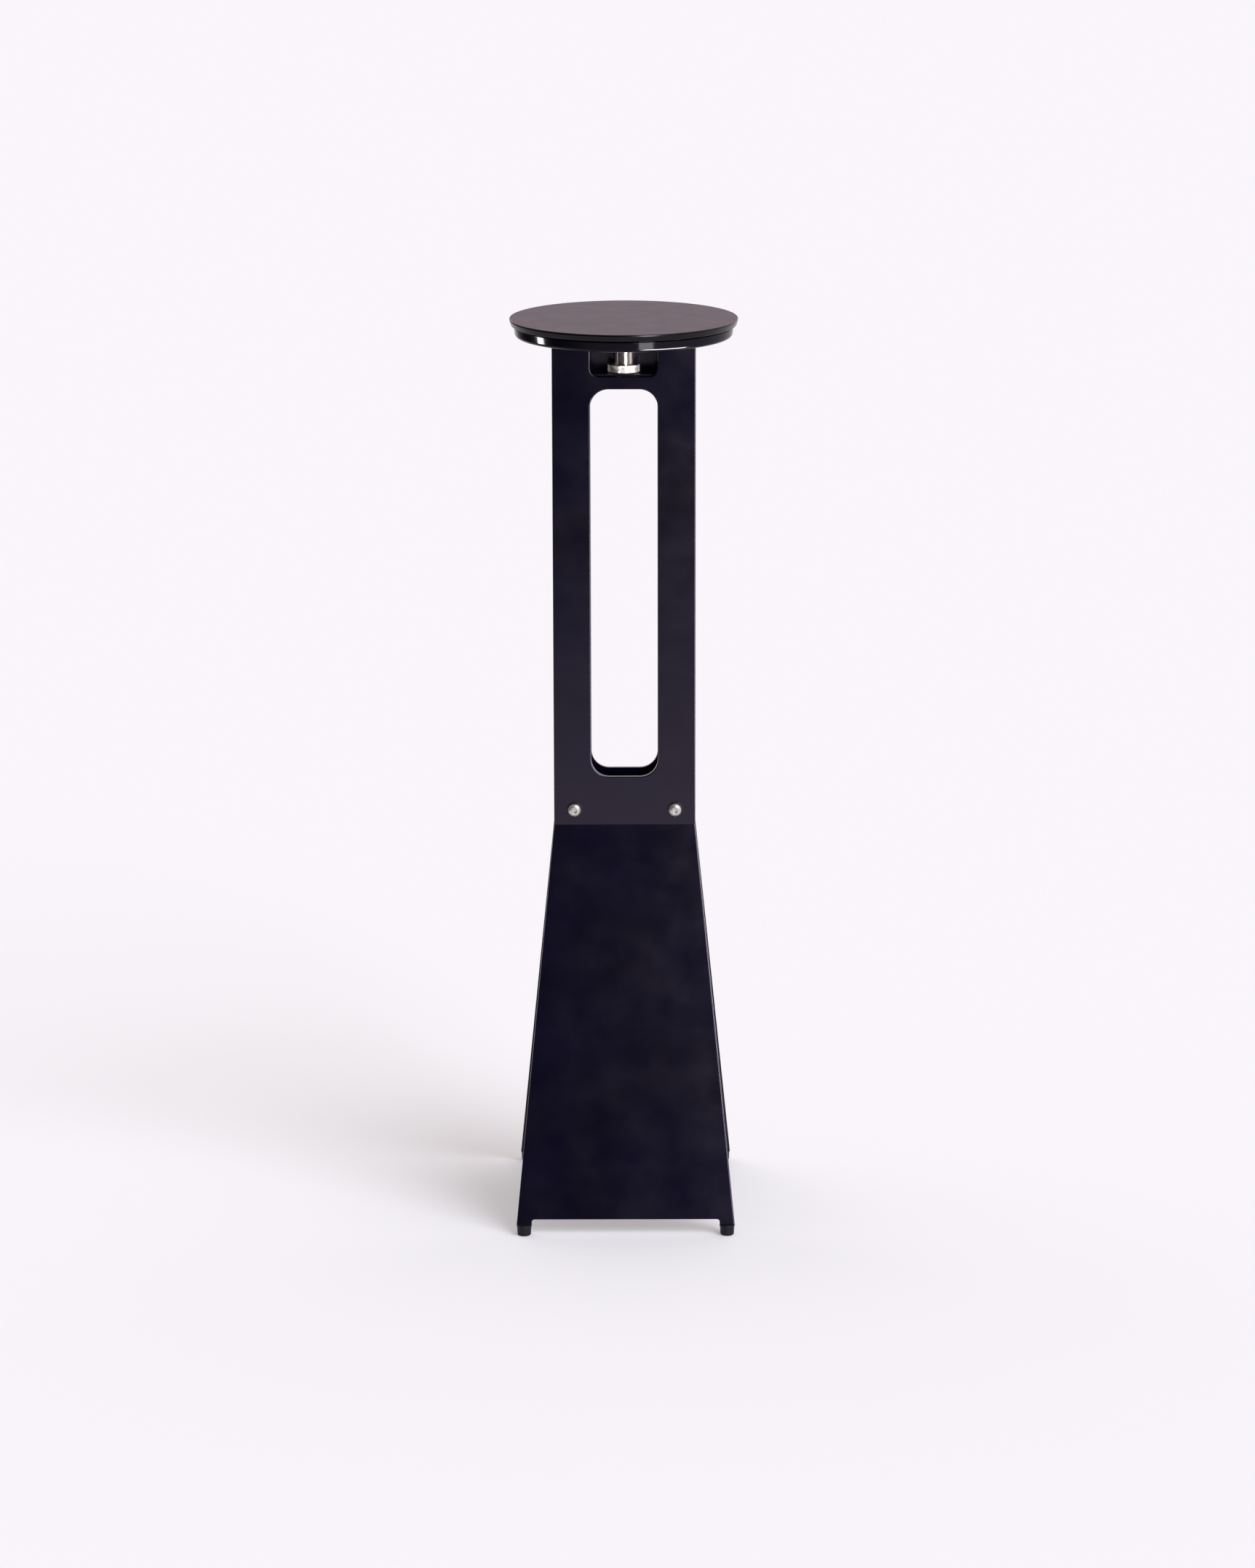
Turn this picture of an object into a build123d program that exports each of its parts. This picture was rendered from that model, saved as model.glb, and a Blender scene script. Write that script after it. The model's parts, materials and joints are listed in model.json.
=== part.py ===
from build123d import *
import os
from math import cos, radians, tan

# Free-standing sculpting turntable, in millimetres. +Z is up, the front faces -Y, and the
# origin lies on the floor under the spin axis. Two folded steel panels stand back to back:
# slotted and upright above, splayed and widening into legs below. A bridge between their
# tops carries a fixed post, and the round head turns on two bearings at the post's top.

# ---- overall sizes ----
OVERALL_HEIGHT = 1010.0
HEAD_DIAMETER = 250.0
COLUMN_WIDTH = 157.4
COLUMN_DEPTH = 48.5
BASE_WIDTH = 243.0  # across the outer edges of the legs, where they meet the feet
BEND_HEIGHT = 444.0  # where the panels fold outwards
LEG_SPLAY = 14.2  # degrees from upright
SHEET = 5.0  # thickness of the panels' steel
EDGE_ROUND = 1.2  # on the panels' outer edges
BEND_INNER_RADIUS = 3.0
NEAR = 0.01  # how close counts as touching when an edge is picked

# ---- head ----
TOP_PLATE_THICKNESS = 7.4
TOP_PLATE_ROUND = 0.8
TOP_PLATE_LAND = 1.7  # the upright part of its side, over the taper
TOP_PLATE_DRAFT = 1.8  # how much its side leans in from the land to the bottom
SHADOW_GAP = 1.5  # the neck between the plate and the pan's rim
NECK_INSET = 9.0
PAN_INSET = 4.6  # the pan's rim is this much inside the plate's edge
PAN_RIM_HEIGHT = 11.1
PAN_DRAFT = 1.6  # how much the rim's side leans in from top to bottom
PAN_ROUND = 4.0
PAN_WALL = 9.0  # radial width of the rim
PAN_RECESS = 6.0  # depth of the hollow under the pan
RIB_COUNT = 6
RIB_WIDTH = 6.0
RIB_HEIGHT = 4.8
RIB_BITE = 1.0  # how far a rib runs into the rim and into the hub's flange
HUB_FLANGE_DIAMETER = 62.0
HUB_BOSS_DIAMETER = 36.0
PLATE_SCREW_COUNT = 3
PLATE_SCREW_CIRCLE = 160.0
PLATE_SCREW_RADIUS = 2.5
PLATE_SCREW_HEAD_RADIUS = 4.8
PLATE_SCREW_SOCKET = 3.0  # across flats
PLATE_SCREW_SOCKET_DEPTH = 2.5
PLATE_SCREW_BITE = 4.0  # how far the screws reach into the plate

# ---- bearings (thin-section deep groove) ----
BEARING_BORE = 17.0
BEARING_OUTSIDE = 26.0
BEARING_WIDTH = 5.0
BEARING_SPREAD = 15.0  # between the two bearings' middles
BEARING_UNDER_PLATE = 4.6
HUB_UNDER_BEARING = 1.5
BALL_RADIUS = 1.25
BALL_COUNT = 12
BALL_CLEARANCE = 0.02
RACE_LAND = 0.8  # from the ball circle to each race's shoulder
CAGE_WALL = 0.9
CAGE_HEIGHT = 3.4
CAGE_CLEARANCE = 0.08
RACE_SHOULDER = 1.0  # the hub's step behind each outer race
SPACER_WALL = 1.7

# ---- post, lock ring and bridge ----
POST_DIAMETER = 22.0
POST_THREAD_DIAMETER = 24.0
POST_FLANGE_DIAMETER = 34.0
POST_FLANGE_THICKNESS = 3.4
POST_TIP = 2.0  # the journal's length above the circlip's seat
CIRCLIP_THICKNESS = 1.0
CIRCLIP_GROOVE_DEPTH = 0.4
CIRCLIP_DIAMETER = 22.6
CIRCLIP_GAP = 5.0
KEY_PIN_RADIUS = 2.0
LOCK_RING_DIAMETER = 35.2
LOCK_RING_HEIGHT = 9.2
LOCK_RING_CHAMFER = 0.8
LOCK_RING_LIFT = 0.1  # the ring's running gap over the bridge
BRIDGE_HEIGHT = 14.4
BRIDGE_WIDTH = 112.0
BRIDGE_SCREW_SPACING = 84.0
BRIDGE_SCREW_RADIUS = 3.0
BRIDGE_SCREW_LENGTH = 18.0
BRIDGE_SCREW_HEAD_RADIUS = 5.25
BRIDGE_SCREW_HEAD_HEIGHT = 3.3
RUNNING_CLEARANCE = 0.05  # radial, on every turning fit

# ---- gaps between the head and the column ----
HEAD_TO_COLUMN = 6.0
HUB_FLANGE_TO_COLUMN = 2.5
NECK_VISIBLE = 17.0  # bare post between the lock ring and the hub

# ---- openings in the panels ----
SLOT_WIDTH = 74.0
SLOT_CORNER = 20.0
SLOT_OVER_SCREWS = 38.0  # from the spacer screws up to the slot
SLOT_TOP_UNDER_BRIDGE = 1.4
BAY_UNDER_RING = 1.6  # the finger bay's floor lies this much under the lock ring
BAY_CORNER = 9.0

# ---- spacer screws ----
SCREW_SPACING = 112.0
SCREW_OVER_BEND = 17.0
SCREW_RADIUS = 4.0
SCREW_LENGTH = 18.0
SCREW_HEAD_RADIUS = 7.1
SCREW_HEAD_HEIGHT = 4.4
SCREW_HOLE_CLEARANCE = 0.3
SOCKET_SHARE = 0.36  # socket width across flats, as a share of the head's diameter
SOCKET_DEPTH_SHARE = 0.55  # of the head's height
DOME_SHARE = 0.72  # of the head's height that is rounded
WASHER_RADIUS = 8.8
WASHER_THICKNESS = 1.2
SPACER_RADIUS = 9.0

# ---- leg ends and feet ----
TAB_WIDTH = 16.8
TAB_HEIGHT = 5.4
TAB_FILLET = 3.0
FOOT_HEIGHT = 12.0
FOOT_RADIUS = 8.0
FOOT_COLLAR_RADIUS = 8.5
FOOT_COLLAR_HEIGHT = 2.0
FOOT_ROUND = 1.6
TONGUE_WIDTH = 8.0
TONGUE_DEPTH = 7.5

# ---- levels and places that follow ----
splay = radians(LEG_SPLAY)
plate_bottom = OVERALL_HEIGHT - TOP_PLATE_THICKNESS
rim_top = plate_bottom - SHADOW_GAP
pan_bottom = rim_top - PAN_RIM_HEIGHT
recess_top = pan_bottom + PAN_RECESS
column_top = pan_bottom - HEAD_TO_COLUMN
upper_bearing_top = plate_bottom - BEARING_UNDER_PLATE
upper_bearing_bottom = upper_bearing_top - BEARING_WIDTH
lower_bearing_bottom = upper_bearing_bottom - BEARING_SPREAD
lower_bearing_top = lower_bearing_bottom + BEARING_WIDTH
hub_bottom = lower_bearing_bottom - HUB_UNDER_BEARING
ring_top = hub_bottom - NECK_VISIBLE
ring_bottom = ring_top - LOCK_RING_HEIGHT
bridge_top = ring_bottom - LOCK_RING_LIFT
bridge_bottom = bridge_top - BRIDGE_HEIGHT
screw_level = BEND_HEIGHT + SCREW_OVER_BEND
slot_bottom = screw_level + SLOT_OVER_SCREWS
slot_top = bridge_bottom - SLOT_TOP_UNDER_BRIDGE
bay_bottom = ring_bottom - BAY_UNDER_RING

panel_gap = COLUMN_DEPTH - 2 * SHEET
head_radius = HEAD_DIAMETER / 2
rim_radius = head_radius - PAN_INSET
neck_radius = head_radius - NECK_INSET
ball_circle = (BEARING_BORE + BEARING_OUTSIDE) / 4
foot_x = BASE_WIDTH / 2 - TAB_WIDTH / 2
first_screw = 90 + 180 / RIB_COUNT  # degrees round from +X


def leg_face(level):
    """How far a leg's outer face stands from the middle plane at a level under the bend."""
    return COLUMN_DEPTH / 2 + (BEND_HEIGHT - level) * tan(splay)


foot_y = leg_face(FOOT_HEIGHT / 2) - SHEET / (2 * cos(splay))


# ---- helpers ----
def tube(outer, inner, bottom, top):
    """A round sleeve about the spin axis; inner 0 makes a disc."""
    body = extrude(Plane.XY.offset(bottom) * Circle(outer), amount=top - bottom)
    if inner > 0:
        body -= extrude(Plane.XY.offset(bottom) * Circle(inner), amount=top - bottom)
    return body


def turned(points):
    """A solid of revolution about the spin axis from a closed (radius, level) outline."""
    section = make_face(Polyline(*[(r, 0, z) for r, z in points], close=True))
    return revolve(section, axis=Axis.Z)


def around(shape, count, start=0.0):
    """Copies of a shape spaced evenly round the spin axis."""
    return [Rot(0, 0, start + i * 360 / count) * shape for i in range(count)]


def button_screw(radius, length, head_radius, head_height):
    """A button-head screw with its shank along -Z from the head's seat at the origin."""
    shank = Pos(0, 0, -length / 2) * Cylinder(radius, length)
    dome = Pos(0, 0, head_height / 2) * Cylinder(head_radius, head_height)
    dome = fillet(dome.edges().sort_by(Axis.Z)[-1:], head_height * DOME_SHARE)
    flats = 2 * head_radius * SOCKET_SHARE
    depth = head_height * SOCKET_DEPTH_SHARE
    socket = extrude(RegularPolygon(flats / 2, 6, major_radius=False), amount=depth)
    return shank + dome - Pos(0, 0, head_height - depth) * socket


# ---- panels ----
def sheet_section(side):
    """The folded sheet's section across the object: upright above the bend, splayed below."""
    outer = COLUMN_DEPTH / 2
    inner = outer - SHEET
    across = SHEET / cos(splay)
    inner_bend = BEND_HEIGHT - (across - SHEET) / tan(splay)
    low = FOOT_HEIGHT - TONGUE_DEPTH
    outline = [
        (outer, column_top),
        (outer, BEND_HEIGHT),
        (leg_face(low), low),
        (leg_face(low) - across, low),
        (inner, inner_bend),
        (inner, column_top),
    ]
    section = make_face(Polyline(*[(0, side * y, z) for y, z in outline], close=True))
    front_bend = section.vertices().sort_by_distance((0, side * outer, BEND_HEIGHT))[:1]
    section = fillet(front_bend, BEND_INNER_RADIUS)
    back_bend = section.vertices().sort_by_distance((0, side * inner, inner_bend))[:1]
    return fillet(back_bend, BEND_INNER_RADIUS + SHEET)


def sheet_outline():
    """The panel's outline seen from the front, with its corner tabs and foot tongues."""
    half, base = COLUMN_WIDTH / 2, BASE_WIDTH / 2
    edge = FOOT_HEIGHT + TAB_HEIGHT
    right = [
        (half, column_top),
        (half, BEND_HEIGHT),
        (base, FOOT_HEIGHT),
        (foot_x + TONGUE_WIDTH / 2, FOOT_HEIGHT),
        (foot_x + TONGUE_WIDTH / 2, 0),
        (foot_x - TONGUE_WIDTH / 2, 0),
        (foot_x - TONGUE_WIDTH / 2, FOOT_HEIGHT),
        (base - TAB_WIDTH, FOOT_HEIGHT),
        (base - TAB_WIDTH, edge),
    ]
    points = right + [(-x, z) for x, z in reversed(right)]
    face = make_face(Polyline(*[(x, 0, z) for x, z in points], close=True))
    for side in (1, -1):
        corner = (side * (base - TAB_WIDTH), 0, edge)
        face = fillet(face.vertices().sort_by_distance(corner)[:1], TAB_FILLET)
    return face


def through(shape):
    """A cutter as deep as the whole object, from a face drawn in the front plane."""
    return extrude(Plane.XZ * shape, amount=HEAD_DIAMETER, both=True)


def rounded_opening(width, low, high, corner):
    """A rounded rectangle in the front plane between two levels."""
    return Pos(0, (low + high) / 2) * RectangleRounded(width, high - low, corner)


def outer_edges(body, side):
    """The edges to ease: all round the upright outer face, and down both sides of the leg."""
    found = []
    for edge in body.edges():
        middle = edge.center()
        upright = abs(side * middle.Y - COLUMN_DEPTH / 2) < NEAR
        if upright and middle.Z > BEND_HEIGHT + 2 * SHEET:
            found.append(edge)
        splayed = abs(side * middle.Y - leg_face(middle.Z)) < NEAR
        down_leg = edge.length > BEND_HEIGHT / 2 and abs(middle.X) > COLUMN_WIDTH / 2
        if splayed and down_leg:
            found.append(edge)
    return found


def panel(side):
    """One folded panel; the front one (side -1) also has the finger bay over its slot."""
    body = extrude(sheet_section(side), amount=BASE_WIDTH, both=True)
    body &= extrude(sheet_outline(), amount=HEAD_DIAMETER, both=True)
    body -= through(rounded_opening(SLOT_WIDTH, slot_bottom, slot_top, SLOT_CORNER))
    if side < 0:
        over = column_top + 2 * BAY_CORNER
        body -= through(rounded_opening(SLOT_WIDTH, bay_bottom, over, BAY_CORNER))
    body = fillet(outer_edges(body, side), EDGE_ROUND)
    for x in (-SCREW_SPACING / 2, SCREW_SPACING / 2):
        body -= through(Pos(x, screw_level) * Circle(SCREW_RADIUS + SCREW_HOLE_CLEARANCE))
    if side > 0:
        for x in (-BRIDGE_SCREW_SPACING / 2, BRIDGE_SCREW_SPACING / 2):
            hole = Circle(BRIDGE_SCREW_RADIUS + SCREW_HOLE_CLEARANCE)
            body -= through(Pos(x, (bridge_top + bridge_bottom) / 2) * hole)
    return body


# ---- feet ----
def foot(side_x, side_y):
    """A push-on rubber foot with the socket that the leg's tongue fills."""
    centre = Pos(side_x * foot_x, side_y * foot_y, 0)
    base = Pos(0, 0, FOOT_HEIGHT / 2) * Cylinder(FOOT_RADIUS, FOOT_HEIGHT)
    base = fillet(base.edges().sort_by(Axis.Z)[:1], FOOT_ROUND)
    collar_middle = FOOT_HEIGHT - FOOT_COLLAR_HEIGHT / 2
    collar = Pos(0, 0, collar_middle) * Cylinder(FOOT_COLLAR_RADIUS, FOOT_COLLAR_HEIGHT)
    return centre * (base + collar)


# ---- fasteners of the column ----
def on_panel(side, shape, x, level, off):
    """A shape drawn about its own +Z, seated on a panel's outer face at (x, level)."""
    out = COLUMN_DEPTH / 2 + off
    place = Plane(origin=(x, side * out, level), x_dir=(-side, 0, 0), z_dir=(0, side, 0))
    return place * shape


def spacer_screws(side):
    """The two button-head screws on one panel, over their washers."""
    screw = button_screw(SCREW_RADIUS, SCREW_LENGTH, SCREW_HEAD_RADIUS, SCREW_HEAD_HEIGHT)
    xs = (-SCREW_SPACING / 2, SCREW_SPACING / 2)
    return [on_panel(side, screw, x, screw_level, WASHER_THICKNESS) for x in xs]


def spacer_washers(side):
    """The two black washers under one panel's screw heads."""
    ring = Cylinder(WASHER_RADIUS, WASHER_THICKNESS)
    ring -= Cylinder(SCREW_RADIUS + SCREW_HOLE_CLEARANCE, WASHER_THICKNESS)
    ring = Pos(0, 0, WASHER_THICKNESS / 2) * ring
    xs = (-SCREW_SPACING / 2, SCREW_SPACING / 2)
    return [on_panel(side, ring, x, screw_level, 0) for x in xs]


def panel_spacer(side_x):
    """A round bar between the panels, tapped from both ends for the spacer screws."""
    lie = Pos(side_x * SCREW_SPACING / 2, 0, screw_level) * Rot(90, 0, 0)
    bar = Cylinder(SPACER_RADIUS, panel_gap)
    reach = SCREW_LENGTH - WASHER_THICKNESS - SHEET
    for end in (-1, 1):
        hole = Pos(0, 0, end * (panel_gap - reach) / 2) * Cylinder(SCREW_RADIUS, reach)
        bar -= hole
    return lie * bar


# ---- bridge, post and lock ring ----
def bridge():
    """The steel block between the panels' tops, bored for the post and tapped behind."""
    middle = (bridge_top + bridge_bottom) / 2
    block = Pos(0, 0, middle) * Box(BRIDGE_WIDTH, panel_gap, BRIDGE_HEIGHT)
    block -= tube(POST_THREAD_DIAMETER / 2, 0, bridge_bottom, bridge_top)
    seat = bridge_bottom + POST_FLANGE_THICKNESS
    block -= tube(POST_FLANGE_DIAMETER / 2, 0, bridge_bottom, seat)
    block -= key_pin_shape()
    reach = BRIDGE_SCREW_LENGTH - SHEET
    for x in (-BRIDGE_SCREW_SPACING / 2, BRIDGE_SCREW_SPACING / 2):
        hole = Pos(x, panel_gap / 2 - reach / 2, middle) * Rot(90, 0, 0)
        block -= hole * Cylinder(BRIDGE_SCREW_RADIUS, reach)
    return block


def bridge_screws():
    """The two screws that hold the bridge to the rear panel."""
    head, height = BRIDGE_SCREW_HEAD_RADIUS, BRIDGE_SCREW_HEAD_HEIGHT
    screw = button_screw(BRIDGE_SCREW_RADIUS, BRIDGE_SCREW_LENGTH, head, height)
    middle = (bridge_top + bridge_bottom) / 2
    xs = (-BRIDGE_SCREW_SPACING / 2, BRIDGE_SCREW_SPACING / 2)
    return [on_panel(1, screw, x, middle, 0) for x in xs]


def key_pin_shape():
    """The pin that keys the post's flange to the bridge so that the post can't turn."""
    low = bridge_bottom
    high = bridge_bottom + 2 * POST_FLANGE_THICKNESS
    out = (POST_THREAD_DIAMETER + POST_FLANGE_DIAMETER) / 4
    return Pos(0, out, (low + high) / 2) * Cylinder(KEY_PIN_RADIUS, high - low)


def post():
    """The fixed post: flange, thread for the lock ring, bare neck and bearing journal."""
    flange = POST_FLANGE_DIAMETER / 2
    thread = POST_THREAD_DIAMETER / 2
    neck = POST_DIAMETER / 2
    journal = BEARING_BORE / 2
    groove = journal - CIRCLIP_GROOVE_DEPTH
    tip = upper_bearing_top + CIRCLIP_THICKNESS + POST_TIP
    outline = [
        (0, bridge_bottom),
        (flange, bridge_bottom),
        (flange, bridge_bottom + POST_FLANGE_THICKNESS),
        (thread, bridge_bottom + POST_FLANGE_THICKNESS),
        (thread, ring_top - 2 * LOCK_RING_CHAMFER),
        (neck, ring_top - LOCK_RING_CHAMFER),
        (neck, lower_bearing_bottom),
        (journal, lower_bearing_bottom),
        (journal, upper_bearing_top),
        (groove, upper_bearing_top),
        (groove, upper_bearing_top + CIRCLIP_THICKNESS),
        (journal, upper_bearing_top + CIRCLIP_THICKNESS),
        (journal, tip - CIRCLIP_THICKNESS / 2),
        (journal - CIRCLIP_THICKNESS / 2, tip),
        (0, tip),
    ]
    return turned(outline) - key_pin_shape()


def post_circlip():
    """The open ring in the post's groove that keeps the upper bearing down."""
    groove = BEARING_BORE / 2 - CIRCLIP_GROOVE_DEPTH
    top = upper_bearing_top + CIRCLIP_THICKNESS
    ring = tube(CIRCLIP_DIAMETER / 2, groove, upper_bearing_top, top)
    opening = Pos(0, -CIRCLIP_DIAMETER / 2, (upper_bearing_top + top) / 2)
    return ring - opening * Box(CIRCLIP_GAP, CIRCLIP_DIAMETER, CIRCLIP_THICKNESS * 2)


def lock_ring():
    """The knurled ring nut that clamps the post to the bridge, with chamfered rims."""
    outer = LOCK_RING_DIAMETER / 2
    bore = POST_THREAD_DIAMETER / 2 + RUNNING_CLEARANCE
    body = tube(outer, bore, ring_bottom, ring_top)
    rims = [e for e in body.edges().filter_by(GeomType.CIRCLE) if e.radius > outer - NEAR]
    return chamfer(rims, LOCK_RING_CHAMFER)


# ---- bearings ----
def groove_ring(bottom):
    """The ring swept by a bearing's balls, a hair larger than the balls."""
    middle = bottom + BEARING_WIDTH / 2
    return Pos(0, 0, middle) * Torus(ball_circle, BALL_RADIUS + BALL_CLEARANCE)


def inner_race(bottom):
    """A bearing's inner ring, fixed on the post."""
    land = ball_circle - RACE_LAND
    ring = tube(land, BEARING_BORE / 2, bottom, bottom + BEARING_WIDTH)
    return ring - groove_ring(bottom)


def outer_race(bottom):
    """A bearing's outer ring, fixed in the hub."""
    land = ball_circle + RACE_LAND
    ring = tube(BEARING_OUTSIDE / 2, land, bottom, bottom + BEARING_WIDTH)
    return ring - groove_ring(bottom)


def ball_set(bottom):
    """The balls of one bearing, each a solid of its own."""
    middle = bottom + BEARING_WIDTH / 2
    return around(Pos(ball_circle, 0, middle) * Sphere(BALL_RADIUS), BALL_COUNT)


def ball_cage(bottom):
    """The cage that spaces the balls, with a pocket round each."""
    middle = bottom + BEARING_WIDTH / 2
    low, high = middle - CAGE_HEIGHT / 2, middle + CAGE_HEIGHT / 2
    ring = tube(ball_circle + CAGE_WALL / 2, ball_circle - CAGE_WALL / 2, low, high)
    drill = Cylinder(BALL_RADIUS + CAGE_CLEARANCE, 4 * CAGE_WALL)
    pocket = Pos(ball_circle, 0, middle) * Rot(0, 90, 0) * drill
    for hole in around(pocket, BALL_COUNT):
        ring -= hole
    return ring


def race_spacer():
    """The sleeve on the post between the two inner rings."""
    bore = BEARING_BORE / 2
    return tube(bore + SPACER_WALL, bore, lower_bearing_top, upper_bearing_bottom)


# ---- head ----
def plate_screw():
    """A countersunk screw from the pan's hollow up into the top plate."""
    taper = PLATE_SCREW_HEAD_RADIUS - PLATE_SCREW_RADIUS
    tip = plate_bottom + PLATE_SCREW_BITE
    outline = [
        (0, recess_top),
        (PLATE_SCREW_HEAD_RADIUS, recess_top),
        (PLATE_SCREW_RADIUS, recess_top + taper),
        (PLATE_SCREW_RADIUS, tip),
        (0, tip),
    ]
    return Pos(PLATE_SCREW_CIRCLE / 2, 0, 0) * turned(outline)


def plate_screw_set():
    """The countersunk screws, evenly spaced between the ribs."""
    hexagon = RegularPolygon(PLATE_SCREW_SOCKET / 2, 6, major_radius=False)
    socket = extrude(hexagon, amount=PLATE_SCREW_SOCKET_DEPTH)
    socket = Pos(PLATE_SCREW_CIRCLE / 2, 0, recess_top) * socket
    return around(plate_screw() - socket, PLATE_SCREW_COUNT, first_screw)


def screw_cavities():
    """The holes that the countersunk screws fill."""
    return around(plate_screw(), PLATE_SCREW_COUNT, first_screw)


def top_plate():
    """The flat round working plate."""
    outline = [
        (0, plate_bottom),
        (head_radius - TOP_PLATE_DRAFT, plate_bottom),
        (head_radius, OVERALL_HEIGHT - TOP_PLATE_LAND),
        (head_radius, OVERALL_HEIGHT),
        (0, OVERALL_HEIGHT),
    ]
    disc = turned(outline)
    rims = disc.edges().filter_by(GeomType.CIRCLE).sort_by(Axis.Z)
    disc = fillet([rims[0], rims[-1]], TOP_PLATE_ROUND)
    for hole in screw_cavities():
        disc -= hole
    return disc


def under_pan():
    """The cast pan under the plate: stepped rim, ribbed hollow and bearing hub."""
    boss = HUB_BOSS_DIAMETER / 2
    flange = HUB_FLANGE_DIAMETER / 2
    flange_bottom = column_top + HUB_FLANGE_TO_COLUMN
    outline = [
        (0, hub_bottom),
        (boss, hub_bottom),
        (boss, flange_bottom),
        (flange, flange_bottom),
        (flange, recess_top),
        (rim_radius - PAN_WALL, recess_top),
        (rim_radius - PAN_WALL, pan_bottom),
        (rim_radius - PAN_DRAFT, pan_bottom),
        (rim_radius, rim_top),
        (neck_radius, rim_top),
        (neck_radius, plate_bottom),
        (0, plate_bottom),
    ]
    pan = turned(outline)
    rims = pan.edges().filter_by(GeomType.CIRCLE)
    lip = [e for e in rims if abs(e.center().Z - pan_bottom) < NEAR]
    pan = fillet([e for e in lip if e.radius > rim_radius - PAN_WALL / 2], PAN_ROUND)
    rib_length = rim_radius - PAN_WALL - flange + 2 * RIB_BITE
    rib_middle = (rim_radius - PAN_WALL + flange) / 2
    rib = Box(rib_length, RIB_WIDTH, RIB_HEIGHT)
    rib = Pos(rib_middle, 0, recess_top - RIB_HEIGHT / 2) * rib
    for one in around(rib, RIB_COUNT, 90):
        pan += one
    pan -= tube(BEARING_OUTSIDE / 2, 0, hub_bottom, lower_bearing_top)
    pan -= tube(BEARING_OUTSIDE / 2 - RACE_SHOULDER, 0, lower_bearing_top, upper_bearing_bottom)
    pan -= tube(BEARING_OUTSIDE / 2, 0, upper_bearing_bottom, plate_bottom)
    for hole in screw_cavities():
        pan -= hole
    return pan


# ---- every node ----
def nodes():
    """Each named node with its solid or its list of like solids."""
    front, rear = panel(-1), panel(1)
    feet = {}
    for y_name, side_y, leg in (("front", -1, front), ("rear", 1, rear)):
        for x_name, side_x in (("left", -1), ("right", 1)):
            feet[f"foot_{y_name}_{x_name}"] = foot(side_x, side_y) - leg
    parts = {
        "front_panel": front,
        "rear_panel": rear,
        **feet,
        "front_spacer_screws": spacer_screws(-1),
        "rear_spacer_screws": spacer_screws(1),
        "front_washers": spacer_washers(-1),
        "rear_washers": spacer_washers(1),
        "spacer_left": panel_spacer(-1),
        "spacer_right": panel_spacer(1),
        "top_bridge": bridge(),
        "bridge_screws": bridge_screws(),
        "post": post(),
        "key_pin": key_pin_shape(),
        "lock_ring": lock_ring(),
        "post_circlip": post_circlip(),
        "race_spacer": race_spacer(),
        "top_plate": top_plate(),
        "under_pan": under_pan(),
        "plate_screws": plate_screw_set(),
    }
    for level, bottom in (("lower", lower_bearing_bottom), ("upper", upper_bearing_bottom)):
        parts[f"{level}_inner_race"] = inner_race(bottom)
        parts[f"{level}_outer_race"] = outer_race(bottom)
        parts[f"{level}_balls"] = ball_set(bottom)
        parts[f"{level}_cage"] = ball_cage(bottom)
    return parts


os.makedirs("parts", exist_ok=True)
for name, shape in nodes().items():
    if isinstance(shape, list):
        shape = Compound(children=[s.solid() for s in shape])
    export_step(shape, f"parts/{name}.step")
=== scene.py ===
"""Finished looks of a free-standing sculpting turntable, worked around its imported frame.

Lengths are metres, +Z is up and the front faces -Y. Every new surface is a grid of rings
computed as whole arrays, and takes its place from the frame's own boxes.
"""

import json
from math import pi, radians, tan

import bpy
import numpy as np
from bpy.props import FloatProperty, FloatVectorProperty, IntProperty, PointerProperty
from mathutils import Matrix, Vector

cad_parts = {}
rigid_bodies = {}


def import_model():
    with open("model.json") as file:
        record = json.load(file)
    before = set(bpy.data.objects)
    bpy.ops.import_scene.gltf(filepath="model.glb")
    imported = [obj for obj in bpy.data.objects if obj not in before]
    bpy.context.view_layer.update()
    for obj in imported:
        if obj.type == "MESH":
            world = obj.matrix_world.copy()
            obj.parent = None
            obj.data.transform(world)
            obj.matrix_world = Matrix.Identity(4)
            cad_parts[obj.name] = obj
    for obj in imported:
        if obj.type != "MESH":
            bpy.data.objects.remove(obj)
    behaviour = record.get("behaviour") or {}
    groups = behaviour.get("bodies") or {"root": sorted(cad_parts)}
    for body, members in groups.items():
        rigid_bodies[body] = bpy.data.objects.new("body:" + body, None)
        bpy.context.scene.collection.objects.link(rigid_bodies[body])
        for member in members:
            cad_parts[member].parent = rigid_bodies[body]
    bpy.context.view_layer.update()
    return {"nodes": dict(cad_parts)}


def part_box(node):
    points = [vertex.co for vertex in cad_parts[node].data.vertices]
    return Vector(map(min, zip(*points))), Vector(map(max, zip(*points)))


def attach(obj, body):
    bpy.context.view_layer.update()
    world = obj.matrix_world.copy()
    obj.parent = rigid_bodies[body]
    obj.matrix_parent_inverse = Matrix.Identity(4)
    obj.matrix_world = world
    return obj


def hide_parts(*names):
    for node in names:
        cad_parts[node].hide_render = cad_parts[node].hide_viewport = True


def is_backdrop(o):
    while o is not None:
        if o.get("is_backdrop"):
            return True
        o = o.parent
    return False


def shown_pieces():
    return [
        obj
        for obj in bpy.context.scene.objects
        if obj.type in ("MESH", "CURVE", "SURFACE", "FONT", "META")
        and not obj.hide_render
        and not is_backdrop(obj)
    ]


bl_info = {
    "name": "Sculpting Turntable Finish",
    "version": (1, 0, 0),
    "blender": (4, 5, 0),
    "location": "3D View > Sidebar > Turntable",
    "description": "Turned, cast and knurled parts, coats and studio for a sculpting turntable",
    "category": "Object",
}

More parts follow.
